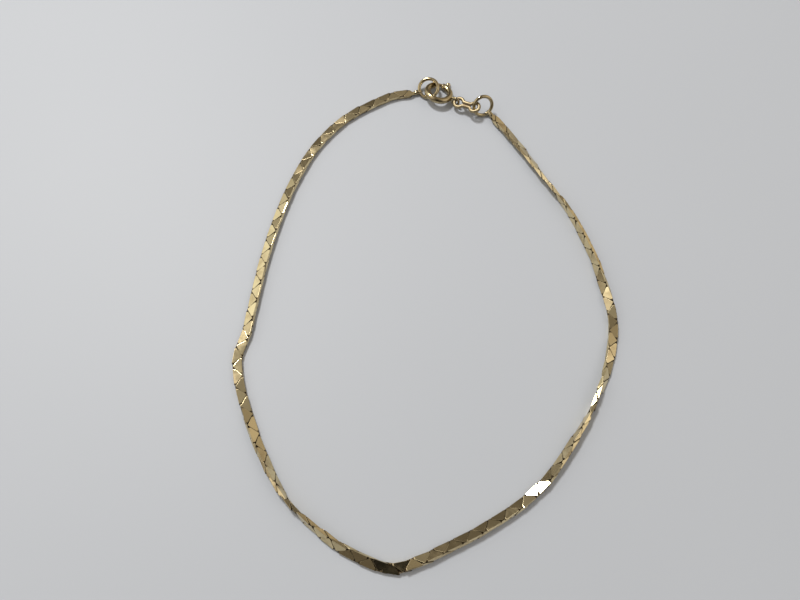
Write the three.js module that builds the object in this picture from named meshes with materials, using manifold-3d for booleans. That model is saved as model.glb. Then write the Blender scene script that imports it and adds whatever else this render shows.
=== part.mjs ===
// Flat gold chain bracelet lying closed on a surface, with a spring ring clasp.
// Millimetres, +Z up. The origin is on the surface, under the middle of the loop.

import * as THREE from 'three';
import { mergeVertices } from 'three/addons/utils/BufferGeometryUtils.js';
import Module from 'manifold-3d';

const wasm = await Module();
wasm.setup();

// Chain: outside of its flat section
const chainWidth = 1.26;
const chainThickness = 0.56;
const chainCornerCut = 0.05;
const chainSteps = 80;

// End rings: wire, and the circle at the middle of the wire
const ringWire = 0.56;
const ringMiddleRadius = 1.53;
const neckRadius = 0.2;
const neckGap = 0.06;

// Spring ring: hollow tube bent to a circle, with a slot for the trigger
const tubeMiddleRadius = 1.87;
const tubeOutside = 1.0;
const tubeBore = 0.74;
const slotWidth = 0.4;

// Wire eye soldered to the spring ring, upright to the ring's plane
const eyeWire = 0.4;
const eyeMiddleRadius = 0.6;
const solderDepth = 0.09;

// Bolt in the tube, with its trigger
const boltDiameter = 0.58;
const triggerStem = 0.24;
const triggerKnob = 0.52;
const triggerReach = 0.86;

// Connector: two wire eyes joined by two bars
const linkWire = 0.5;
const linkEyeMiddleRadius = 0.76;
const linkBarOffset = 0.36;

// Angles round the spring ring, in degrees from its eye
const mouth = { from: 98, to: 138 };
const slot = { from: 33, to: 87 };
const bolt = { from: 64, to: 141 };
const triggerAngle = 82.5;

// Sides of each wire and steps round each circle
const wireSides = 12;
const ringSteps = 48;
const eyeSteps = 32;

// Chain from the left end ring to the right one: middle of the chain on the surface,
// and its roll in degrees, in which the outer edge comes up and over towards the inside
const route = [
  [-2.05, 35.35, -4],
  [-5.1, 34.7, -5],
  [-7.9, 33.3, -5],
  [-12.9, 29.8, -6],
  [-17.3, 24.4, -9],
  [-20.3, 18.1, -14],
  [-22.4, 11.5, -20],
  [-24.0, 4.2, -24],
  [-25.1, -3.4, -24],
  [-25.6, -6.8, -17],
  [-26.3, -9.3, 0],
  [-26.45, -10.9, 0],
  [-26.2, -12.6, 0],
  [-25.75, -14.5, 0],
  [-25.0, -16.7, 6],
  [-23.2, -21.2, 33],
  [-21.9, -23.8, 44],
  [-20.7, -26.0, 56],
  [-19.0, -28.6, 75],
  [-16.9, -30.8, 96],
  [-14.6, -32.7, 116],
  [-12.0, -34.5, 133],
  [-9.5, -35.75, 147],
  [-7.3, -36.65, 163],
  [-5.5, -37.05, 178],
  [-4.1, -36.95, 189],
  [-1.8, -36.2, 202],
  [0.7, -35.1, 209],
  [5.9, -32.6, 212],
  [10.9, -29.65, 207],
  [13.15, -27.9, 203],
  [15.0, -26.2, 222],
  [16.9, -23.9, 238],
  [19.3, -20.65, 252],
  [21.4, -17.6, 270],
  [23.3, -14.2, 299],
  [24.8, -10.8, 328],
  [25.9, -7.3, 350],
  [26.4, -4.3, 372],
  [26.2, -0.9, 394],
  [25.4, 2.8, 415],
  [24.5, 6.7, 432],
  [21.8, 13.75, 450],
  [17.7, 20.75, 488],
  [15.4, 24.55, 503],
  [13.2, 27.9, 514],
  [10.75, 31.3, 528],
].map(([x, y, roll]) => ({ x, y, roll }));

// Clasp pieces: where each one's middle is, and the way that its flat side faces
const leftRing = {
  middle: new THREE.Vector3(0.32, 36.04, 0.94),
  facing: new THREE.Vector3(-0.205, -0.362, 0.909),
};
const springRing = {
  middle: new THREE.Vector3(1.98, 35.21, 0.93),
  facing: new THREE.Vector3(0.113, 0.187, 0.976),
  eyeSide: new THREE.Vector3(0.861, -0.508, 0),
};
const rightRing = {
  middle: new THREE.Vector3(8.99, 32.44, 1.6),
  facing: new THREE.Vector3(0.219, -0.819, 0.531),
};
const connector = {
  leftEye: new THREE.Vector3(5.2, 33.3, 1.07),
  rightEye: new THREE.Vector3(7.58, 32.08, 1.63),
  facing: new THREE.Vector3(-0.281, -0.115, 0.953),
};

const gold = { chain: 0xb39a5c, clasp: 0xbfa55f, bolt: 0xa98f55 };

function goldMaterial(color) {
  return new THREE.MeshStandardMaterial({ color, metalness: 1, roughness: 0.3 });
}

// Booleans

function solidOf(geometry) {
  const bare = geometry.clone();
  bare.deleteAttribute('normal');
  bare.deleteAttribute('uv');
  const merged = mergeVertices(bare, 1e-5);
  return new wasm.Manifold(new wasm.Mesh({
    numProp: 3,
    vertProperties: new Float32Array(merged.attributes.position.array),
    triVerts: new Uint32Array(merged.index.array),
  }));
}

function geometryOf(solid) {
  const { vertProperties, triVerts } = solid.getMesh();
  const geometry = new THREE.BufferGeometry();
  geometry.setAttribute('position', new THREE.BufferAttribute(vertProperties, 3));
  geometry.setIndex(new THREE.BufferAttribute(triVerts, 1));
  geometry.computeVertexNormals();
  return geometry;
}

function joined(...geometries) {
  return geometryOf(geometries.map(solidOf).reduce((whole, next) => whole.add(next)));
}

// Shapes that the pieces share

function wireRing(middleRadius, wire, steps) {
  return new THREE.TorusGeometry(middleRadius, wire / 2, wireSides, steps);
}

function rod(start, end, radius) {
  const along = end.clone().sub(start);
  const shape = new THREE.CylinderGeometry(radius, radius, along.length(), wireSides);
  const turn = new THREE.Quaternion().setFromUnitVectors(
    new THREE.Vector3(0, 1, 0), along.clone().normalize());
  shape.applyQuaternion(turn);
  return shape.translate(...start.clone().addScaledVector(along, 0.5));
}

// Flat block over part of a circle, from one angle to another, centred on its plane
function sector(innerRadius, outerRadius, { from, to }, height) {
  const start = THREE.MathUtils.degToRad(from);
  const end = THREE.MathUtils.degToRad(to);
  const outline = new THREE.Shape();
  outline.absarc(0, 0, outerRadius, start, end, false);
  outline.absarc(0, 0, innerRadius, end, start, true);
  const block = new THREE.ExtrudeGeometry(outline, { depth: height, bevelEnabled: false });
  return block.translate(0, 0, -height / 2);
}

// Stands a piece at its middle, its own Z along facing and its own X near side
function standAt(mesh, middle, facing, side) {
  const z = facing.clone().normalize();
  const x = side.clone().addScaledVector(z, -side.dot(z)).normalize();
  const y = new THREE.Vector3().crossVectors(z, x);
  mesh.quaternion.setFromRotationMatrix(new THREE.Matrix4().makeBasis(x, y, z));
  mesh.position.copy(middle);
  mesh.updateMatrixWorld();
  return mesh;
}

function pieceNamed(name, color) {
  const mesh = new THREE.Mesh(new THREE.BufferGeometry(), goldMaterial(color));
  mesh.name = name;
  return mesh;
}

// Chain

const chainPath = new THREE.CatmullRomCurve3(
  route.map(({ x, y }) => new THREE.Vector3(x, y, 0)), false, 'catmullrom');
const chainRoll = new THREE.CatmullRomCurve3(
  route.map(({ roll }) => new THREE.Vector3(roll, 0, 0)), false, 'catmullrom');
const up = new THREE.Vector3(0, 0, 1);

function chainOutline() {
  const w = chainWidth / 2;
  const t = chainThickness / 2;
  const c = chainCornerCut;
  return [
    [w, -t + c], [w, t - c], [w - c, t], [c - w, t],
    [-w, t - c], [-w, -t + c], [c - w, -t], [w - c, -t],
  ].map(([x, y]) => new THREE.Vector2(x, y));
}

// Middle and directions of the section at a share of the length, lowest corner on the surface
function chainStation(share) {
  const t = chainPath.getUtoTmapping(share);
  const run = chainPath.getTangent(t);
  const roll = THREE.MathUtils.degToRad(chainRoll.getPoint(t).x);
  const inward = new THREE.Vector3(-run.y, run.x, 0);
  const edge = inward.clone().multiplyScalar(Math.cos(roll)).addScaledVector(up, -Math.sin(roll));
  const face = up.clone().multiplyScalar(Math.cos(roll)).addScaledVector(inward, Math.sin(roll));
  const drops = chainOutline().map((corner) => corner.x * edge.z + corner.y * face.z);
  const middle = chainPath.getPoint(t).setZ(-Math.min(...drops));
  return { middle, edge, face };
}

function makeChain() {
  const section = new THREE.Shape(chainOutline());
  const tube = new THREE.ExtrudeGeometry(section, { depth: 1, steps: chainSteps, bevelEnabled: false });
  const place = tube.attributes.position;
  const corner = new THREE.Vector3();
  for (let i = 0; i < place.count; i += 1) {
    corner.fromBufferAttribute(place, i);
    const { middle, edge, face } = chainStation(corner.z);
    middle.addScaledVector(edge, corner.x).addScaledVector(face, corner.y);
    place.setXYZ(i, middle.x, middle.y, middle.z);
  }
  const mesh = pieceNamed('chain', gold.chain);
  mesh.geometry = tube;
  return mesh;
}

// End rings, each with the solder neck that reaches to its end of the chain

function makeEndRing(name, { middle, facing }, share) {
  const mesh = pieceNamed(name, gold.clasp);
  const chainEnd = chainStation(share).middle;
  standAt(mesh, middle, facing, chainEnd.clone().sub(middle));
  const onWire = mesh.localToWorld(new THREE.Vector3(ringMiddleRadius, 0, 0));
  const reach = chainEnd.clone().sub(onWire);
  reach.setLength(reach.length() - neckGap);
  const neckEnd = mesh.worldToLocal(onWire.clone().add(reach));
  mesh.geometry = joined(
    wireRing(ringMiddleRadius, ringWire, ringSteps),
    rod(new THREE.Vector3(ringMiddleRadius, 0, 0), neckEnd, neckRadius),
  );
  return mesh;
}

// Spring ring clasp

function makeSpringRing() {
  const mesh = pieceNamed('spring_ring', gold.clasp);
  const past = tubeOutside;
  const outerRadius = tubeMiddleRadius + tubeOutside / 2;
  const bore = wireRing(tubeMiddleRadius, tubeBore, ringSteps);
  const mouthCut = sector(tubeMiddleRadius - past, tubeMiddleRadius + past, mouth, 2 * past);
  const slotCut = sector(tubeMiddleRadius + triggerStem, tubeMiddleRadius + past, slot, slotWidth);
  const eye = wireRing(eyeMiddleRadius, eyeWire, eyeSteps).rotateX(Math.PI / 2);
  eye.translate(outerRadius + eyeMiddleRadius + eyeWire / 2 - solderDepth, 0, 0);
  const tube = solidOf(wireRing(tubeMiddleRadius, tubeOutside, ringSteps))
    .add(solidOf(eye))
    .subtract(solidOf(bore))
    .subtract(solidOf(mouthCut))
    .subtract(solidOf(slotCut));
  mesh.geometry = geometryOf(tube);
  return standAt(mesh, springRing.middle, springRing.facing, springRing.eyeSide);
}

function makeSpringBolt() {
  const mesh = pieceNamed('spring_bolt', gold.bolt);
  const past = tubeOutside;
  const arc = solidOf(wireRing(tubeMiddleRadius, boltDiameter, ringSteps))
    .intersect(solidOf(sector(tubeMiddleRadius - past, tubeMiddleRadius + past, bolt, 2 * past)));
  const angle = THREE.MathUtils.degToRad(triggerAngle);
  const outward = new THREE.Vector3(Math.cos(angle), Math.sin(angle), 0);
  const root = outward.clone().multiplyScalar(tubeMiddleRadius);
  const tip = outward.clone().multiplyScalar(tubeMiddleRadius + triggerReach);
  const knob = new THREE.SphereGeometry(triggerKnob / 2, wireSides, wireSides / 2);
  knob.translate(...tip);
  mesh.geometry = geometryOf(
    arc.add(solidOf(rod(root, tip, triggerStem / 2))).add(solidOf(knob)));
  return standAt(mesh, springRing.middle, springRing.facing, springRing.eyeSide);
}

function makeConnector() {
  const mesh = pieceNamed('connector_link', gold.clasp);
  const { leftEye, rightEye, facing } = connector;
  const half = leftEye.distanceTo(rightEye) / 2;
  const barEnd = half - Math.sqrt(linkEyeMiddleRadius ** 2 - linkBarOffset ** 2);
  const eyes = [-half, half].map(
    (x) => wireRing(linkEyeMiddleRadius, linkWire, eyeSteps).translate(x, 0, 0));
  const bars = [-linkBarOffset, linkBarOffset].map((y) => rod(
    new THREE.Vector3(-barEnd, y, 0), new THREE.Vector3(barEnd, y, 0), linkWire / 2));
  mesh.geometry = joined(...eyes, ...bars);
  const middle = leftEye.clone().add(rightEye).multiplyScalar(0.5);
  return standAt(mesh, middle, facing, rightEye.clone().sub(leftEye));
}

const bracelet = new THREE.Group();
const clasp = new THREE.Group();
clasp.add(makeSpringRing(), makeSpringBolt(), makeConnector());
bracelet.add(
  makeChain(),
  makeEndRing('end_ring_left', leftRing, 0),
  makeEndRing('end_ring_right', rightRing, 1),
  clasp,
);

export default bracelet;
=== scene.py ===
import bisect
import math
import random

import bmesh
import bpy
from mathutils import Matrix, Vector


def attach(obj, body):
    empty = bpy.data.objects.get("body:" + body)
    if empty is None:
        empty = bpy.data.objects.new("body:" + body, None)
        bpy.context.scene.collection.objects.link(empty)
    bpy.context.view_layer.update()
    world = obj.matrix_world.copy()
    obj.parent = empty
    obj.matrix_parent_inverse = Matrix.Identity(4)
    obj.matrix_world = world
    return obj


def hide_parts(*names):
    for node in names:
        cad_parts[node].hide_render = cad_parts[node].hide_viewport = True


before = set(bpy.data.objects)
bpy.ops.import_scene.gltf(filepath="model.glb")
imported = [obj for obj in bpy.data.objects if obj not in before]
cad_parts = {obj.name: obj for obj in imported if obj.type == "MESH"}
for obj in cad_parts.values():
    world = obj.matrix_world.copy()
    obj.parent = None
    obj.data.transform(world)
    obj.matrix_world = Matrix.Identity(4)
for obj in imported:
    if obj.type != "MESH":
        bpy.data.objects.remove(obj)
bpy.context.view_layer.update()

# Flat gold chain bracelet with a spring ring clasp, lying closed on a pale table.
# Everything is modelled in millimetres and turned to metres when a piece is finished.
toMetres = Matrix.Scale(0.001, 4)
up = Vector((0, 0, 1))


# Camera at the photograph's angle

camera = {
    "spot": (-10.166, -39.364, 92.79),
    "turn": -8.73,        # degrees round the upright, from looking along +Y
    "lookDown": 67.32,
    "roll": 9.45,
    "lens": 31.5,         # on a 36 mm sensor
    "nearest": 0.005,     # metres
}


def placeCamera():
    data = bpy.data.cameras.new("camera")
    data.sensor_width = 36
    data.lens = camera["lens"]
    data.clip_start = camera["nearest"]
    eye = bpy.data.objects.new("camera", data)
    eye.matrix_world = (
        Matrix.Translation(toMetres @ Vector(camera["spot"]))
        @ Matrix.Rotation(math.radians(camera["turn"]), 4, "Z")
        @ Matrix.Rotation(math.radians(90 - camera["lookDown"]), 4, "X")
        @ Matrix.Rotation(math.radians(camera["roll"]), 4, "Z")
    )
    bpy.context.collection.objects.link(eye)
    bpy.context.scene.camera = eye


placeCamera()
print("camera placed")


# Node helpers

def addNode(tree, kind, values=(), **settings):
    node = tree.nodes.new(kind)
    for key, value in settings.items():
        setattr(node, key, value)
    for key, value in dict(values).items():
        if isinstance(value, bpy.types.NodeSocket):
            tree.links.new(value, node.inputs[key])
        else:
            node.inputs[key].default_value = value
    return node


def newGroup(name, inputs, outputs):
    group = bpy.data.node_groups.new(name, "ShaderNodeTree")
    for label, kind, value in inputs:
        socket = group.interface.new_socket(label, in_out="INPUT", socket_type=kind)
        socket.default_value = value
    for label, kind in outputs:
        group.interface.new_socket(label, in_out="OUTPUT", socket_type=kind)
    return group, group.nodes.new("NodeGroupInput"), group.nodes.new("NodeGroupOutput")


def useGroup(tree, group, values=()):
    return addNode(tree, "ShaderNodeGroup", values, node_tree=group)


# Inputs 6 and 7 and output 2 of a Mix node are its colours
def mixColours(tree, factor, first, second):
    mix = addNode(tree, "ShaderNodeMix", {0: factor, 6: first, 7: second}, data_type="RGBA")
    return mix.outputs[2]


# Shared effects of worn gold; the joint mask is dirt and painted shade together

def makeTarnish():
    group, given, out = newGroup(
        "tarnish",
        [("Scale", "NodeSocketFloat", 600.0), ("Start", "NodeSocketFloat", 0.45),
         ("Full", "NodeSocketFloat", 0.7)],
        [("Mask", "NodeSocketFloat")])
    place = addNode(group, "ShaderNodeTexCoord")
    cloud = addNode(group, "ShaderNodeTexNoise", {
        "Vector": place.outputs["Object"], "Scale": given.outputs["Scale"],
        "Detail": 5.0, "Roughness": 0.6})
    spread = addNode(group, "ShaderNodeMapRange", {
        "Value": cloud.outputs["Fac"], "From Min": given.outputs["Start"],
        "From Max": given.outputs["Full"]})
    group.links.new(spread.outputs["Result"], out.inputs["Mask"])
    return group


def makeScratches():
    group, given, out = newGroup(
        "fineScratches",
        [("Scale", "NodeSocketFloat", 4000.0), ("Stretch", "NodeSocketFloat", 0.08)],
        [("Height", "NodeSocketFloat")])
    place = addNode(group, "ShaderNodeTexCoord")
    heights = []
    for turn in (0.5, 1.9):
        pull = addNode(group, "ShaderNodeCombineXYZ", {
            "X": given.outputs["Stretch"], "Y": 1.0, "Z": 1.0})
        aim = addNode(group, "ShaderNodeMapping", {
            "Vector": place.outputs["Object"], "Rotation": (0.2, 0.3, turn),
            "Scale": pull.outputs["Vector"]})
        lines = addNode(group, "ShaderNodeTexNoise", {
            "Vector": aim.outputs["Vector"], "Scale": given.outputs["Scale"],
            "Detail": 3.0, "Roughness": 0.7})
        heights.append(lines.outputs["Fac"])
    both = addNode(group, "ShaderNodeMath", {0: heights[0], 1: heights[1]}, operation="MULTIPLY")
    group.links.new(both.outputs["Value"], out.inputs["Height"])
    return group


# Mask of dirt and painted shade: the chain's grime attribute, full in the gaps between plates and on
# the bars, partial along facet borders, broken up by noise
def makeJointGrimeAndShade():
    group, given, out = newGroup(
        "jointGrimeAndShade",
        [("Scale", "NodeSocketFloat", 2500.0), ("Reach", "NodeSocketFloat", 0.5)],
        [("Mask", "NodeSocketFloat")])
    place = addNode(group, "ShaderNodeTexCoord")
    depth = addNode(group, "ShaderNodeAttribute", attribute_name="grimeAndShade")
    cloud = addNode(group, "ShaderNodeTexNoise", {
        "Vector": place.outputs["Object"], "Scale": given.outputs["Scale"], "Detail": 3.0})
    patchy = addNode(group, "ShaderNodeMath", {
        0: depth.outputs["Fac"], 1: cloud.outputs["Fac"]}, operation="MULTIPLY")
    mask = addNode(group, "ShaderNodeMapRange", {
        "Value": patchy.outputs["Value"], "From Min": 0.0, "From Max": given.outputs["Reach"]})
    group.links.new(mask.outputs["Result"], out.inputs["Mask"])
    return group


tarnish = makeTarnish()
fineScratches = makeScratches()
jointGrimeAndShade = makeJointGrimeAndShade()

# The grime colour is dirt and painted shade, laid in the chain's gaps and along its facet borders
goldFinish = {
    "chainGold": {
        "clean": (0.74, 0.62, 0.37, 1), "dull": (0.50, 0.40, 0.23, 1),
        "grimeAndShade": (0.05, 0.032, 0.018, 1),
        "patches": 500.0, "smooth": 0.13, "rough": 0.27, "scratch": 0.06,
    },
    # clasp gold darker than the chain's: partly tarnish, partly painted shade for the darker
    # reflections in its wires
    "claspGold": {
        "clean": (0.50, 0.41, 0.24, 1), "dull": (0.27, 0.205, 0.115, 1),
        "grimeAndShade": (0.07, 0.045, 0.025, 1),
        "patches": 900.0, "smooth": 0.14, "rough": 0.28, "scratch": 0.05,
    },
    # connector gold darker still: partly the link's duller worn look, partly painted shade that dims
    # the lamp's highlight on its bars
    "connectorGold": {
        "clean": (0.40, 0.33, 0.20, 1), "dull": (0.30, 0.225, 0.14, 1),
        "grimeAndShade": (0.07, 0.045, 0.025, 1),
        "patches": 900.0, "smooth": 0.46, "rough": 0.58, "scratch": 0.05,
    },
    "boltGold": {
        "clean": (0.56, 0.45, 0.27, 1), "dull": (0.34, 0.25, 0.14, 1),
        "grimeAndShade": (0.07, 0.045, 0.025, 1),
        "patches": 1200.0, "smooth": 0.2, "rough": 0.4, "scratch": 0.08,
    },
}
grimeAndShadeRoughness = 0.4      # added where the grime and painted shade lie
scratchDepth = 0.00002    # metres


def makeGold(name):
    look = goldFinish[name]
    material = bpy.data.materials.new(name)
    material.use_nodes = True
    tree = material.node_tree
    shader = tree.nodes["Principled BSDF"]
    shader.inputs["Metallic"].default_value = 1.0
    dullness = useGroup(tree, tarnish, {"Scale": look["patches"]})
    dirtAndShade = useGroup(tree, jointGrimeAndShade)
    shade = addNode(tree, "ShaderNodeAttribute", attribute_name="linkShade")
    worn = addNode(tree, "ShaderNodeMath", {
        0: dullness.outputs["Mask"], 1: shade.outputs["Fac"]}, operation="ADD", use_clamp=True)
    tone = mixColours(tree, worn.outputs["Value"], look["clean"], look["dull"])
    # grime colour over the metal: dirt and painted shade in the gaps and at facet borders
    dirtiedAndShaded = mixColours(tree, dirtAndShade.outputs["Mask"], tone, look["grimeAndShade"])
    tree.links.new(dirtiedAndShaded, shader.inputs["Base Color"])
    gloss = addNode(tree, "ShaderNodeMapRange", {
        "Value": worn.outputs["Value"], "To Min": look["smooth"], "To Max": look["rough"]})
    matted = addNode(tree, "ShaderNodeMath", {
        0: dirtAndShade.outputs["Mask"], 1: grimeAndShadeRoughness, 2: gloss.outputs["Result"]},
        operation="MULTIPLY_ADD")
    tree.links.new(matted.outputs["Value"], shader.inputs["Roughness"])
    lines = useGroup(tree, fineScratches)
    bump = addNode(tree, "ShaderNodeBump", {
        "Height": lines.outputs["Height"], "Strength": look["scratch"],
        "Distance": scratchDepth})
    tree.links.new(bump.outputs["Normal"], shader.inputs["Normal"])
    return material


chainGold = makeGold("chainGold")
claspGold = makeGold("claspGold")
connectorGold = makeGold("connectorGold")
boltGold = makeGold("boltGold")
print("gold materials made")


# Mesh helpers

weld = 0.001
ballGrid = (16, 10)      # segments round and along a ball


def newPiece(bm, name, material):
    mesh = bpy.data.meshes.new(name)
    bm.to_mesh(mesh)
    bm.free()
    mesh.materials.append(material)
    piece = bpy.data.objects.new(name, mesh)
    bpy.context.collection.objects.link(piece)
    return piece


def finishPiece(bm, name, material, body, node, smooth):
    bmesh.ops.transform(bm, matrix=toMetres, verts=bm.verts)
    piece = newPiece(bm, name, material)
    if smooth:
        piece.data.shade_smooth()
    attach(piece, body)
    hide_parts(node)
    print(name, len(piece.data.polygons), "faces")


def everythingIn(bm):
    return bm.verts[:] + bm.edges[:] + bm.faces[:]


def vertsOf(items):
    return [item for item in items if isinstance(item, bmesh.types.BMVert)]


def edgesOf(items):
    return [item for item in items if isinstance(item, bmesh.types.BMEdge)]


def edgesRound(verts):
    return list({edge for vert in verts for edge in vert.link_edges})


# Runs one modifier on a bmesh and hands back the result
def shapedBy(bm, kind, **settings):
    mesh = bpy.data.meshes.new("work")
    bm.to_mesh(mesh)
    bm.free()
    work = bpy.data.objects.new("work", mesh)
    bpy.context.collection.objects.link(work)
    modifier = work.modifiers.new("shape", kind)
    for key, value in settings.items():
        setattr(modifier, key, value)
    depsgraph = bpy.context.evaluated_depsgraph_get()
    result = bpy.data.meshes.new_from_object(work.evaluated_get(depsgraph))
    shaped = bmesh.new()
    shaped.from_mesh(result)
    bpy.data.objects.remove(work)
    bpy.data.meshes.remove(mesh)
    bpy.data.meshes.remove(result)
    return shaped


def united(bm, other):
    mesh = bpy.data.meshes.new("other")
    other.to_mesh(mesh)
    other.free()
    helper = bpy.data.objects.new("other", mesh)
    bpy.context.collection.objects.link(helper)
    whole = shapedBy(bm, "BOOLEAN", operation="UNION", object=helper, solver="EXACT")
    bpy.data.objects.remove(helper)
    bpy.data.meshes.remove(mesh)
    return whole


def cutAway(bm, point, normal):
    cut = bmesh.ops.bisect_plane(
        bm, geom=everythingIn(bm), plane_co=point, plane_no=normal, clear_outer=True)
    bmesh.ops.holes_fill(bm, edges=edgesOf(cut["geom_cut"]))


def addRod(bm, start, end, radius, sides):
    along = end - start
    turn = along.to_track_quat("Z", "Y").to_matrix().to_4x4()
    bmesh.ops.create_cone(
        bm, cap_ends=True, segments=sides, radius1=radius, radius2=radius, depth=along.length,
        matrix=Matrix.Translation((start + end) / 2) @ turn)


# Matrix that stands a piece at its middle, its own Z along facing and its own X near side
def standAt(middle, facing, side):
    z = Vector(facing).normalized()
    x = (Vector(side) - z * Vector(side).dot(z)).normalized()
    y = z.cross(x)
    return Matrix.Translation(middle) @ Matrix((x, y, z)).transposed().to_4x4()


# Chain: flat interlocked links. Each link is a pair of lozenge plates, folded over two
# opposite corners of the flat section and held together by two bars inside.

chain = {
    "width": 1.26,
    "thickness": 0.56,
    "pitch": 2.8,            # one link to the next over the same corners
    "firstNotch": 2.1,       # from the chain's start to the first notch on its inner edge
    "plate": 0.13,
    "gap": 0.024,            # between neighbouring plates
    "tipCut": 0.09,
    "apexCut": 0.08,
    "shoulder": (0.4, 0.05, 0.1),   # length, and drop across the width and the thickness
    "softEdge": 0.014,
    "border": 0.035,         # border of each facet, darkened with grime and painted shade
    "borderGrimeAndShade": 0.3,
    "crown": 0.004,          # facet proud of its border
    "endTaper": (0.9, 0.36),  # length, and half width left at the soldered tip
    "barPlace": 0.92,
    "barRadius": 0.065,
    "barSides": 6,
    "barInset": (0.14, 0.08),   # of its ends from the width's and the thickness's outsides
    "looseTurn": (2.2, 1.3, 1.2),   # degrees about the run, the width and the thickness
    "lean": 3.5,             # degrees by which neighbouring links lean to opposite edges
    # links that lie differently, in degrees about the run and the width
    "setTurn": {
        15: (1, -2), 16: (1, -2), 66: (0, -4), 67: (4, -6), 68: (1, -5), 69: (-3, -3),
        70: (-2, -2), 71: (-3, -1), 80: (2.4, 6.4), 81: (11, 5), 91: (-5.5, 3.7),
        92: (3.9, 3.4), 100: (8, -4), 101: (9, -5), 102: (4, -5),
    },
    "shade": (-0.25, 0.35),  # range of dullness from link to link
    "lastReach": 0.3,        # of half a pitch past the chain's end, for the last link's middle
    "weld": 0.004,
    "facetOff": 0.002,       # of an outer facet from the section's outside, at most
    "facetArea": 0.05,       # square millimetres, at least
    "facetLevel": 0.99,
    "seed": 5,
}

# Middle of the chain on the table from the left end ring to the right one, and its roll
# in degrees, in which the outer edge comes up and over towards the inside
route = [Vector(row) for row in (
    (-2.05, 35.35, -4), (-5.1, 34.7, -5), (-7.9, 33.3, -5), (-12.9, 29.8, -6),
    (-17.3, 24.4, -9), (-20.3, 18.1, -14), (-22.4, 11.5, -20), (-24.0, 4.2, -24),
    (-25.1, -3.4, -24), (-25.6, -6.8, -17), (-26.3, -9.3, 0), (-26.45, -10.9, 0),
    (-26.2, -12.6, 0), (-25.75, -14.5, 0), (-25.0, -16.7, 6), (-23.2, -21.2, 33),
    (-21.9, -23.8, 44), (-20.7, -26.0, 56), (-19.0, -28.6, 75), (-16.9, -30.8, 96),
    (-14.6, -32.7, 116), (-12.0, -34.5, 133), (-9.5, -35.75, 147), (-7.3, -36.65, 163),
    (-5.5, -37.05, 178), (-4.1, -36.95, 189), (-1.8, -36.2, 202), (0.7, -35.1, 209),
    (5.9, -32.6, 212), (10.9, -29.65, 207), (13.15, -27.9, 203), (15.0, -26.2, 222),
    (16.9, -23.9, 238), (19.3, -20.65, 252), (21.4, -17.6, 270), (23.3, -14.2, 299),
    (24.8, -10.8, 328), (25.9, -7.3, 350), (26.4, -4.3, 372), (26.2, -0.9, 394),
    (25.4, 2.8, 415), (24.5, 6.7, 432), (21.8, 13.75, 450), (17.7, 20.75, 488),
    (15.4, 24.55, 503), (13.2, 27.9, 514), (10.75, 31.3, 528),
)]
routeSteps = 60
routeReach = 0.01        # of a row to either side, for the direction of the run


# Point and roll on a smooth curve through the route's rows
def onRoute(place):
    i = min(max(int(place), 0), len(route) - 2)
    f = place - i
    p1, p2 = route[i], route[i + 1]
    p0 = route[i - 1] if i > 0 else 2 * p1 - p2
    p3 = route[i + 2] if i + 2 < len(route) else 2 * p2 - p1
    bend = 2 * p0 - 5 * p1 + 4 * p2 - p3
    swing = 3 * p1 - p0 - 3 * p2 + p3
    return p1 + ((p2 - p0) * f + bend * f ** 2 + swing * f ** 3) / 2


routePlaces = [i / routeSteps for i in range(routeSteps * (len(route) - 1) + 1)]
routeLengths = [0.0]
for before, after in zip(routePlaces, routePlaces[1:]):
    routeLengths.append(routeLengths[-1] + (onRoute(after) - onRoute(before)).xy.length)
chainLength = routeLengths[-1]


# Matrix of the flat section at a length along the chain: its own X along the run, Y to the
# inner edge and Z out of the first face, with the lowest corner on the table
def chainStation(length):
    i = min(max(bisect.bisect(routeLengths, length) - 1, 0), len(routeLengths) - 2)
    share = (length - routeLengths[i]) / (routeLengths[i + 1] - routeLengths[i])
    place = routePlaces[i] + share / routeSteps
    point = onRoute(place)
    ahead = onRoute(place + routeReach)
    run = (ahead - onRoute(place - routeReach)).xy.normalized().to_3d()
    roll = math.radians(point.z)
    inward = up.cross(run)
    edge = inward * math.cos(roll) - up * math.sin(roll)
    face = up * math.cos(roll) + inward * math.sin(roll)
    lift = abs(edge.z) * chain["width"] / 2 + abs(face.z) * chain["thickness"] / 2
    middle = Vector((point.x, point.y, lift))
    return Matrix.Translation(middle) @ Matrix((run, edge, face)).transposed().to_4x4()


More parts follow.
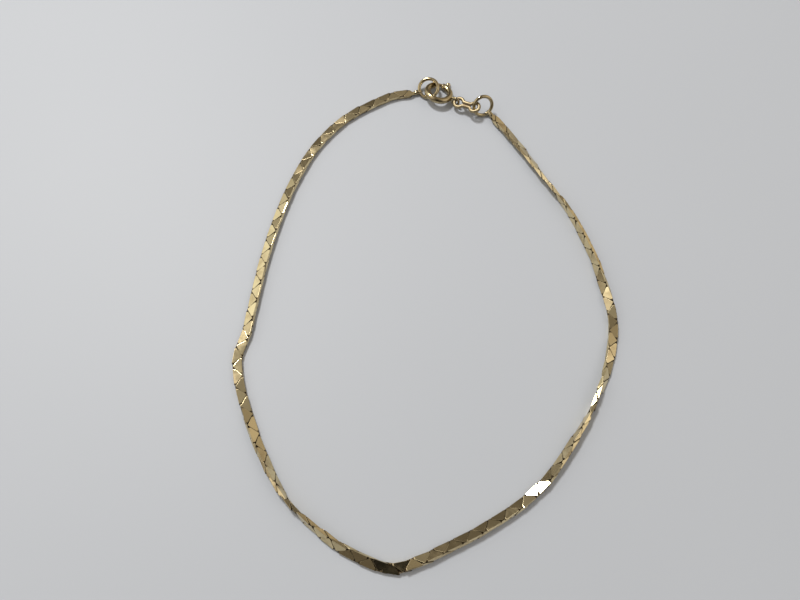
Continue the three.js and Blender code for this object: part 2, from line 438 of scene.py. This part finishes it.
# Plate over one corner: a strip folded along the chain, then cut to a lozenge along its seams
def foldedPlate():
    half = chain["pitch"] / 2
    w = chain["width"] / 2
    t = chain["thickness"] / 2
    bm = bmesh.new()
    stand = Matrix.Translation((0, 0, t)) @ Matrix.Diagonal((half, w, 1, 1))
    bmesh.ops.create_grid(bm, x_segments=1, y_segments=1, size=1, matrix=stand)
    fold = [edge for edge in bm.edges if all(vert.co.y > 0 for vert in edge.verts)]
    flap = bmesh.ops.extrude_edge_only(bm, edges=fold)
    bmesh.ops.translate(bm, vec=(0, 0, -2 * t), verts=vertsOf(flap["geom"]))
    bmesh.ops.recalc_face_normals(bm, faces=bm.faces)
    if max(bm.faces, key=lambda face: face.calc_area()).normal.z < 0:
        bmesh.ops.reverse_faces(bm, faces=bm.faces)
    bmesh.ops.solidify(bm, geom=bm.faces[:], thickness=chain["plate"])
    for side in (-1, 1):
        corner = Vector((side * half, w, t))
        for seam in (Vector((side * 2 * w, -half, 0)), Vector((side * 2 * t, 0, -half))):
            cutAway(bm, corner - seam.normalized() * chain["gap"] / 2, seam)
        cutAway(bm, corner - Vector((side * chain["tipCut"], 0, 0)), (side, 0, 0))
        length, dropAcross, dropDown = chain["shoulder"]
        cutAway(bm, corner - Vector((side * length, 0, 0)), (side * dropAcross, length, 0))
        cutAway(bm, corner - Vector((side * length, 0, 0)), (side * dropDown, 0, length))
    cutAway(bm, (0, chain["apexCut"] - w, 0), (0, -1, 0))
    cutAway(bm, (0, 0, chain["apexCut"] / 2 - t), (0, 0, -1))
    bmesh.ops.recalc_face_normals(bm, faces=bm.faces)
    bmesh.ops.bevel(
        bm, geom=bm.edges[:], offset=chain["softEdge"], affect="EDGES", segments=1, profile=0.5,
        material=-1, clamp_overlap=True)
    bmesh.ops.remove_doubles(bm, verts=bm.verts, dist=chain["weld"])
    return bm


def makeLink():
    w = chain["width"] / 2
    t = chain["thickness"] / 2
    plates = foldedPlate()
    turned = bmesh.ops.duplicate(plates, geom=everythingIn(plates))
    bmesh.ops.rotate(
        plates, verts=vertsOf(turned["geom"]), cent=(0, 0, 0), matrix=Matrix.Rotation(math.pi, 3, "X"))
    bars = bmesh.new()
    corner = Vector((0, w - chain["barInset"][0], t - chain["barInset"][1]))
    for x in (-chain["barPlace"], chain["barPlace"]):
        middle = Vector((x, 0, 0))
        addRod(bars, middle - corner, middle + corner, chain["barRadius"], chain["barSides"])
    bm = united(plates, bars)
    # the four outer facets get a border of grime and painted shade and stand a little proud of it
    facets = sorted(bm.faces, key=lambda face: -face.calc_area())
    facets = [face for face in facets if outerFacet(face, w, t)]
    # every face but the outer facets, in the gaps between plates and on the bars, gets full grime and
    # painted shade
    grimeAndShade = bm.verts.layers.float.new("grimeAndShade")
    for vert in bm.verts:
        vert[grimeAndShade] = 1.0
    for face in facets:
        for vert in face.verts:
            vert[grimeAndShade] = chain["borderGrimeAndShade"]
    bmesh.ops.inset_individual(
        bm, faces=facets, thickness=chain["border"], depth=chain["crown"], use_even_offset=True)
    for face in facets:
        for vert in face.verts:
            vert[grimeAndShade] = 0.0
    return bm


def outerFacet(face, w, t):
    middle = face.calc_center_median()
    off, level = chain["facetOff"], chain["facetLevel"]
    onWide = abs(abs(middle.z) - t) < off and abs(face.normal.z) > level
    onThin = abs(abs(middle.y) - w) < off and abs(face.normal.y) > level
    return (onWide or onThin) and face.calc_area() > chain["facetArea"]


# Cuts what reaches past the chain's end and narrows the rest towards its tip
def cutEnd(shape, tip, side):
    length, tipHalf = chain["endTaper"]
    drop = chain["width"] / 2 - tipHalf
    cutAway(shape, (tip, 0, 0), (side, 0, 0))
    for edge in (-1, 1):
        cutAway(shape, (tip, edge * tipHalf, 0), (side * drop, edge * length, 0))


def makeChain():
    draw = random.Random(chain["seed"])
    link = makeLink()
    print("one link has", len(link.faces), "faces")
    shapes = []
    for side in (1, -1):
        shape = link.copy()
        bmesh.ops.scale(shape, vec=(1, side, 1), verts=shape.verts)
        if side < 0:
            bmesh.ops.reverse_faces(shape, faces=shape.faces)
        shapes.append(shape)
    whole = bmesh.new()
    # grime and painted shade of each vertex, carried over from the links
    whole.verts.layers.float.new("grimeAndShade")
    shadeLayer = whole.faces.layers.float.new("linkShade")
    half = chain["pitch"] / 2
    middle = chain["firstNotch"] - half
    count = 0
    while middle < chainLength + chain["lastReach"] * half:
        shape = shapes[count % 2].copy()
        if middle < half + chain["endTaper"][0]:
            cutEnd(shape, -middle, -1)
        if middle > chainLength - half - chain["endTaper"][0]:
            cutEnd(shape, chainLength - middle, 1)
        turns = [draw.gauss(0, turn) for turn in chain["looseTurn"]]
        turns[0] += chain["lean"] * (1 if count % 2 else -1)
        if count in chain["setTurn"]:
            turns[:2] = chain["setTurn"][count]
        loose = Matrix.Identity(4)
        for turn, axis in zip(turns, "XYZ"):
            loose @= Matrix.Rotation(math.radians(turn), 4, axis)
        bmesh.ops.transform(shape, matrix=chainStation(middle) @ loose, verts=shape.verts)
        dip = min(vert.co.z for vert in shape.verts)
        if dip < 0:
            bmesh.ops.translate(shape, vec=(0, 0, -dip), verts=shape.verts)
        shade = draw.uniform(*chain["shade"])
        mesh = bpy.data.meshes.new("link")
        shape.to_mesh(mesh)
        shape.free()
        known = len(whole.faces)
        whole.from_mesh(mesh)
        bpy.data.meshes.remove(mesh)
        whole.faces.ensure_lookup_table()
        for face in whole.faces[known:]:
            face[shadeLayer] = shade
        middle += half
        count += 1
    print("chain of", count, "links,", round(chainLength, 1), "mm")
    finishPiece(whole, "flat_chain", chainGold, "bracelet", "chain", False)


makeChain()


# Clasp

def ringOfWire(bm, middleRadius, wire, sides, steps, centre=Vector((0, 0, 0))):
    onWire = centre + Vector((middleRadius, 0, 0))
    stand = Matrix.Translation(onWire) @ Matrix.Rotation(math.pi / 2, 4, "X")
    circle = bmesh.ops.create_circle(bm, segments=sides, radius=wire / 2, matrix=stand)
    loop = circle["verts"] + edgesRound(circle["verts"])
    bmesh.ops.spin(
        bm, geom=loop, cent=centre, axis=up, angle=math.tau, steps=steps, use_merge=True)


def addBall(bm, start, end, radius, overshoot):
    along = end - start
    turn = along.to_track_quat("Z", "Y").to_matrix().to_4x4()
    stretch = Matrix.Diagonal((1, 1, (along.length / 2 + overshoot) / radius, 1))
    bmesh.ops.create_uvsphere(
        bm, u_segments=ballGrid[0], v_segments=ballGrid[1], radius=radius,
        matrix=Matrix.Translation((start + end) / 2) @ turn @ stretch)


# Melts overlapping shapes into one body with soft inner corners
def melted(bm, grain, passes):
    bmesh.ops.remove_doubles(bm, verts=bm.verts, dist=weld)
    bmesh.ops.recalc_face_normals(bm, faces=bm.faces)
    bm = shapedBy(bm, "REMESH", mode="VOXEL", voxel_size=grain, use_smooth_shade=True)
    for _ in range(passes):
        bmesh.ops.smooth_vert(
            bm, verts=bm.verts, factor=0.5, use_axis_x=True, use_axis_y=True, use_axis_z=True)
    return bm


endRing = {
    "wire": 0.56,
    "middleRadius": 1.53,
    "solder": 0.38,          # radius of the solder that holds the chain's end
    "overlap": 0.38,         # of the solder over the chain's end and the wire
    "sides": 16,
    "steps": 64,
    "grain": 0.05,
    "smoothing": 5,
    "left": {"middle": (0.32, 36.04, 0.94), "facing": (-0.205, -0.362, 0.909)},
    "right": {"middle": (8.99, 32.44, 1.6), "facing": (0.219, -0.819, 0.531)},
}


def makeEndRing(name, side, chainEnd, node):
    place = endRing[side]
    stand = standAt(place["middle"], place["facing"], chainEnd - Vector(place["middle"]))
    bm = bmesh.new()
    ringOfWire(bm, endRing["middleRadius"], endRing["wire"], endRing["sides"], endRing["steps"])
    bmesh.ops.transform(bm, matrix=stand, verts=bm.verts)
    onWire = stand @ Vector((endRing["middleRadius"], 0, 0))
    addBall(bm, onWire, chainEnd, endRing["solder"], endRing["overlap"])
    bm = melted(bm, endRing["grain"], endRing["smoothing"])
    finishPiece(bm, name, claspGold, "bracelet", node, True)


makeEndRing("left_end_ring", "left", chainStation(0).translation, "end_ring_left")
makeEndRing("right_end_ring", "right", chainStation(chainLength).translation, "end_ring_right")

springRing = {
    "middle": (1.98, 35.21, 0.93),
    "facing": (0.113, 0.187, 0.976),
    "eyeSide": (0.861, -0.508, 0),
    "middleRadius": 1.87,
    "outside": 1.0,
    "bore": 0.74,
    "mouth": (98, 138),       # degrees round the ring from its eye
    "slot": (33, 87),
    "slotFaces": 3,           # of the tube's sides
    "sides": 24,
    "step": 3.0,              # degrees
    "rim": 0.03,
    "sharp": 50,              # degrees between faces at an edge that gets the rim
    "eyeWire": 0.4,
    "eyeRadius": 0.6,
    "eyeSides": 14,
    "eyeSteps": 48,
    "eyeGrain": 0.045,
    "eyeSmoothing": 4,
    "solder": 0.2,            # radius of the eye's solder, and its reach past either end
    "solderHalf": 0.15,
    "solderDepth": 0.09,
}
springStand = standAt(springRing["middle"], springRing["facing"], springRing["eyeSide"])


# Hollow tube bent from the mouth's far side round to its near side, with the trigger's slot
def makeSpringTube():
    ring = springRing
    first, last = ring["mouth"][1], ring["mouth"][0] + 360
    steps = round((last - first) / ring["step"])
    bm = bmesh.new()
    stand = (
        Matrix.Rotation(math.radians(first), 4, "Z")
        @ Matrix.Translation((ring["middleRadius"], 0, 0))
        @ Matrix.Rotation(math.pi / 2, 4, "X")
        @ Matrix.Rotation(math.pi / ring["sides"], 4, "Z"))
    loops = []
    for size in (ring["outside"], ring["bore"]):
        circle = bmesh.ops.create_circle(bm, segments=ring["sides"], radius=size / 2, matrix=stand)
        loops += edgesRound(circle["verts"])
    bmesh.ops.bridge_loops(bm, edges=loops)
    bmesh.ops.spin(
        bm, geom=everythingIn(bm), cent=(0, 0, 0), axis=up,
        angle=math.radians(last - first), steps=steps)
    bmesh.ops.remove_doubles(bm, verts=bm.verts, dist=weld)
    bmesh.ops.recalc_face_normals(bm, faces=bm.faces)
    cut = [face for face in bm.faces if inSlot(face)]
    bmesh.ops.delete(bm, geom=cut, context="FACES")
    rims = [edge for edge in bm.edges if edge.is_boundary]
    bmesh.ops.bridge_loops(bm, edges=rims)
    bmesh.ops.recalc_face_normals(bm, faces=bm.faces)
    sharp = [edge for edge in bm.edges if edge.calc_face_angle(0) > math.radians(ring["sharp"])]
    bmesh.ops.bevel(
        bm, geom=sharp, offset=ring["rim"], affect="EDGES", segments=2, profile=0.5, material=-1,
        clamp_overlap=True)
    bmesh.ops.transform(bm, matrix=springStand, verts=bm.verts)
    finishPiece(bm, "spring_ring_tube", claspGold, "bracelet", "spring_ring", True)


# A face of either wall on the outside of the ring, between the slot's ends
def inSlot(face):
    middle = face.calc_center_median()
    angle = math.degrees(math.atan2(middle.y, middle.x)) % 360
    outward = middle.xy.length - springRing["middleRadius"]
    wide = math.degrees(math.atan2(middle.z, outward))
    reach = 180 * springRing["slotFaces"] / springRing["sides"]
    onWall = abs(face.normal.dot(Vector((-middle.y, middle.x, 0)).normalized())) < 0.5
    return onWall and abs(wide) < reach and springRing["slot"][0] < angle < springRing["slot"][1]


def makeSpringEye():
    ring = springRing
    outer = ring["middleRadius"] + ring["outside"] / 2
    away = ring["eyeRadius"] + ring["eyeWire"] / 2 - ring["solderDepth"]
    centre = Vector((outer + away, 0, 0))
    bm = bmesh.new()
    ringOfWire(bm, ring["eyeRadius"], ring["eyeWire"], ring["eyeSides"], ring["eyeSteps"], centre)
    bmesh.ops.rotate(bm, verts=bm.verts, cent=centre, matrix=Matrix.Rotation(math.pi / 2, 3, "X"))
    root = Vector((outer, 0, 0))
    addBall(
        bm, root - up * ring["solderHalf"], root + up * ring["solderHalf"], ring["solder"],
        ring["solder"])
    bm = melted(bm, ring["eyeGrain"], ring["eyeSmoothing"])
    bmesh.ops.transform(bm, matrix=springStand, verts=bm.verts)
    finishPiece(bm, "spring_ring_eye", claspGold, "bracelet", "spring_ring", True)


makeSpringTube()
makeSpringEye()

springBolt = {
    "angles": (64, 141),
    "diameter": 0.58,
    "sides": 20,
    "steps": 26,
    "rounding": 0.12,        # of its two ends
    "roundingSteps": 4,
    "triggerAngle": 82.5,
    "stem": 0.2,
    "stemSides": 12,
    "knob": 0.78,
    "knobHeight": 0.8,       # of its width, so that it clears the table
    "reach": 0.94,
}


def makeSpringBolt():
    bolt = springBolt
    first, last = bolt["angles"]
    bm = bmesh.new()
    stand = (
        Matrix.Rotation(math.radians(first), 4, "Z")
        @ Matrix.Translation((springRing["middleRadius"], 0, 0))
        @ Matrix.Rotation(math.pi / 2, 4, "X"))
    bmesh.ops.create_circle(
        bm, cap_ends=True, segments=bolt["sides"], radius=bolt["diameter"] / 2, matrix=stand)
    bmesh.ops.spin(
        bm, geom=everythingIn(bm), cent=(0, 0, 0), axis=up,
        angle=math.radians(last - first), steps=bolt["steps"])
    bmesh.ops.remove_doubles(bm, verts=bm.verts, dist=weld)
    bmesh.ops.recalc_face_normals(bm, faces=bm.faces)
    caps = [face for face in bm.faces if len(face.verts) > 4]
    rims = list({edge for face in caps for edge in face.edges})
    bmesh.ops.bevel(
        bm, geom=rims, offset=bolt["rounding"], affect="EDGES", segments=bolt["roundingSteps"],
        profile=0.5, material=-1, clamp_overlap=True)
    outward = Matrix.Rotation(math.radians(bolt["triggerAngle"]), 3, "Z") @ Vector((1, 0, 0))
    root = outward * springRing["middleRadius"]
    tip = outward * (springRing["middleRadius"] + bolt["reach"])
    stem = bmesh.new()
    addRod(stem, root, tip, bolt["stem"] / 2, bolt["stemSides"])
    bm = united(bm, stem)
    knob = bmesh.new()
    addBall(knob, tip, tip + outward * weld, bolt["knob"] / 2, bolt["knob"] / 2)
    bmesh.ops.scale(knob, vec=(1, 1, bolt["knobHeight"]), verts=knob.verts)
    bm = united(bm, knob)
    bmesh.ops.transform(bm, matrix=springStand, verts=bm.verts)
    finishPiece(bm, "clasp_bolt", boltGold, "bolt", "spring_bolt", True)


makeSpringBolt()

connector = {
    "leftEye": Vector((5.2, 33.3, 1.07)),
    "rightEye": Vector((7.58, 32.08, 1.63)),
    "facing": (-0.281, -0.115, 0.953),
    "wire": 0.56,
    "eyeRadius": 0.76,
    "barOffset": 0.3,
    "shoulder": 0.22,        # radius of the bend from bar to eye
    "sides": 16,
    "shoulderSteps": 8,
    "eyeSteps": 36,
    "weld": 0.002,
}


# One wire bent into two eyes with two bars side by side between them
def makeConnector():
    eyeRadius, shoulder = connector["eyeRadius"], connector["shoulder"]
    offset = connector["barOffset"]
    half = (connector["rightEye"] - connector["leftEye"]).length / 2
    rise = math.asin((offset + shoulder) / (eyeRadius + shoulder))
    barEnd = half - (eyeRadius + shoulder) * math.cos(rise)
    swing = math.pi / 2 - rise
    bm = bmesh.new()
    stand = Matrix.Translation((-barEnd, offset, 0)) @ Matrix.Rotation(math.pi / 2, 4, "Y")
    circle = bmesh.ops.create_circle(
        bm, segments=connector["sides"], radius=connector["wire"] / 2, matrix=stand)
    loop = circle["verts"] + edgesRound(circle["verts"])
    for side in (1, -1):
        bar = bmesh.ops.extrude_edge_only(bm, edges=edgesOf(loop))
        loop = vertsOf(bar["geom"]) + edgesOf(bar["geom"])
        bmesh.ops.translate(bm, vec=(2 * barEnd * side, 0, 0), verts=vertsOf(loop))
        away = side * (offset + shoulder)
        bends = (
            ((side * barEnd, away, 0), swing, connector["shoulderSteps"]),
            ((side * half, 0, 0), 2 * rise - math.tau, connector["eyeSteps"]),
            ((side * barEnd, -away, 0), swing, connector["shoulderSteps"]))
        for centre, angle, steps in bends:
            bend = bmesh.ops.spin(bm, geom=loop, cent=centre, axis=up, angle=angle, steps=steps)
            loop = bend["geom_last"]
    bmesh.ops.remove_doubles(bm, verts=bm.verts, dist=connector["weld"])
    bmesh.ops.recalc_face_normals(bm, faces=bm.faces)
    middle = (connector["leftEye"] + connector["rightEye"]) / 2
    stand = standAt(middle, connector["facing"], connector["rightEye"] - connector["leftEye"])
    bmesh.ops.transform(bm, matrix=stand, verts=bm.verts)
    finishPiece(bm, "connector_wire", connectorGold, "bracelet", "connector_link", True)


makeConnector()
print("clasp made")


# Table and light

table = {
    "size": 1.6,             # metres
    "drop": 0.00002,         # under the lowest metal
    "tone": (0.52, 0.55, 0.60, 1),
    "cloudTone": (0.49, 0.52, 0.567, 1),
    "cloudScale": 12.0,
    "roughness": 0.55,
}


def makeTable():
    material = bpy.data.materials.new("paleTable")
    material.use_nodes = True
    tree = material.node_tree
    shader = tree.nodes["Principled BSDF"]
    place = addNode(tree, "ShaderNodeTexCoord")
    cloud = addNode(tree, "ShaderNodeTexNoise", {
        "Vector": place.outputs["Object"], "Scale": table["cloudScale"], "Detail": 2.0})
    tone = mixColours(tree, cloud.outputs["Fac"], table["tone"], table["cloudTone"])
    tree.links.new(tone, shader.inputs["Base Color"])
    shader.inputs["Roughness"].default_value = table["roughness"]
    bm = bmesh.new()
    bmesh.ops.create_grid(bm, x_segments=1, y_segments=1, size=table["size"] / 2)
    bmesh.ops.translate(bm, vec=(0, 0, -table["drop"]), verts=bm.verts)
    newPiece(bm, "table", material)


# Degrees to the left of straight back and up, then metres
window = {
    "side": 36, "height": 55, "away": 0.7, "size": 0.13, "power": 3.2, "tone": (1, 0.985, 0.96),
}

# Soft glow of the room: degrees to the left of straight back, height, half width and colour
room = {
    "base": (0.136, 0.121, 0.104),
    "glows": {
        "leftWall": (61, 24, 29, (0.98, 1.0, 0.95)),
        "rightWall": (-60, 34, 50, (0.50, 0.44, 0.35)),
        "highLeft": (32, 72, 18, (0.2, 0.2, 0.19)),
        "farWall": (-6, 43, 15, (0.1, 0.1, 0.1)),
        "leftSide": (100, 40, 40, (0.88, 0.84, 0.8)),
        "rightSide": (-112, 42, 40, (0.76, 0.73, 0.7)),
    },
}

# Dark card over the near end of the loop, seen only as a reflection in the metal
darkCard = {
    "middle": (0.016, -0.05, 0.07), "radius": 0.05, "sides": 48,
    "tone": (0.012, 0.010, 0.009, 1), "roughness": 0.9,
}


def towards(side, height):
    aside = Matrix.Rotation(math.radians(side), 3, "Z")
    return aside @ Matrix.Rotation(math.radians(height), 3, "X") @ Vector((0, 1, 0))


def makeWindow():
    data = bpy.data.lights.new("window", "AREA")
    data.shape = "DISK"
    data.size = window["size"]
    data.energy = window["power"]
    data.color = window["tone"]
    light = bpy.data.objects.new("window", data)
    aim = towards(window["side"], window["height"])
    turn = aim.to_track_quat("Z", "Y").to_matrix().to_4x4()
    light.matrix_world = Matrix.Translation(aim * window["away"]) @ turn
    bpy.context.collection.objects.link(light)


def makeRoom():
    world = bpy.data.worlds.new("room")
    bpy.context.scene.world = world
    world.use_nodes = True
    tree = world.node_tree
    back = tree.nodes["Background"]
    place = addNode(tree, "ShaderNodeTexCoord")
    light = room["base"]
    for side, height, spread, colour in room["glows"].values():
        facing = addNode(tree, "ShaderNodeVectorMath", {
            0: place.outputs["Generated"], 1: towards(side, height)}, operation="DOT_PRODUCT")
        glow = addNode(tree, "ShaderNodeMapRange", {
            "Value": facing.outputs["Value"], "From Min": math.cos(math.radians(spread)),
            "From Max": 1.0}, interpolation_type="SMOOTHSTEP")
        lit = addNode(tree, "ShaderNodeVectorMath", {
            0: glow.outputs["Result"], 1: colour, 2: light}, operation="MULTIPLY_ADD")
        light = lit.outputs["Vector"]
    tree.links.new(light, back.inputs["Color"])
    back.inputs["Strength"].default_value = 1.0


def makeCard():
    material = bpy.data.materials.new("darkCard")
    material.use_nodes = True
    shader = material.node_tree.nodes["Principled BSDF"]
    shader.inputs["Base Color"].default_value = darkCard["tone"]
    shader.inputs["Roughness"].default_value = darkCard["roughness"]
    bm = bmesh.new()
    bmesh.ops.create_circle(
        bm, cap_ends=True, segments=darkCard["sides"], radius=darkCard["radius"],
        matrix=Matrix.Translation(darkCard["middle"]))
    card = newPiece(bm, "dark_card", material)
    card.visible_camera = False
    card.visible_diffuse = False
    card.visible_shadow = False


makeTable()
makeWindow()
makeRoom()
makeCard()
bpy.context.scene.view_settings.view_transform = "Standard"
print("table and light made")
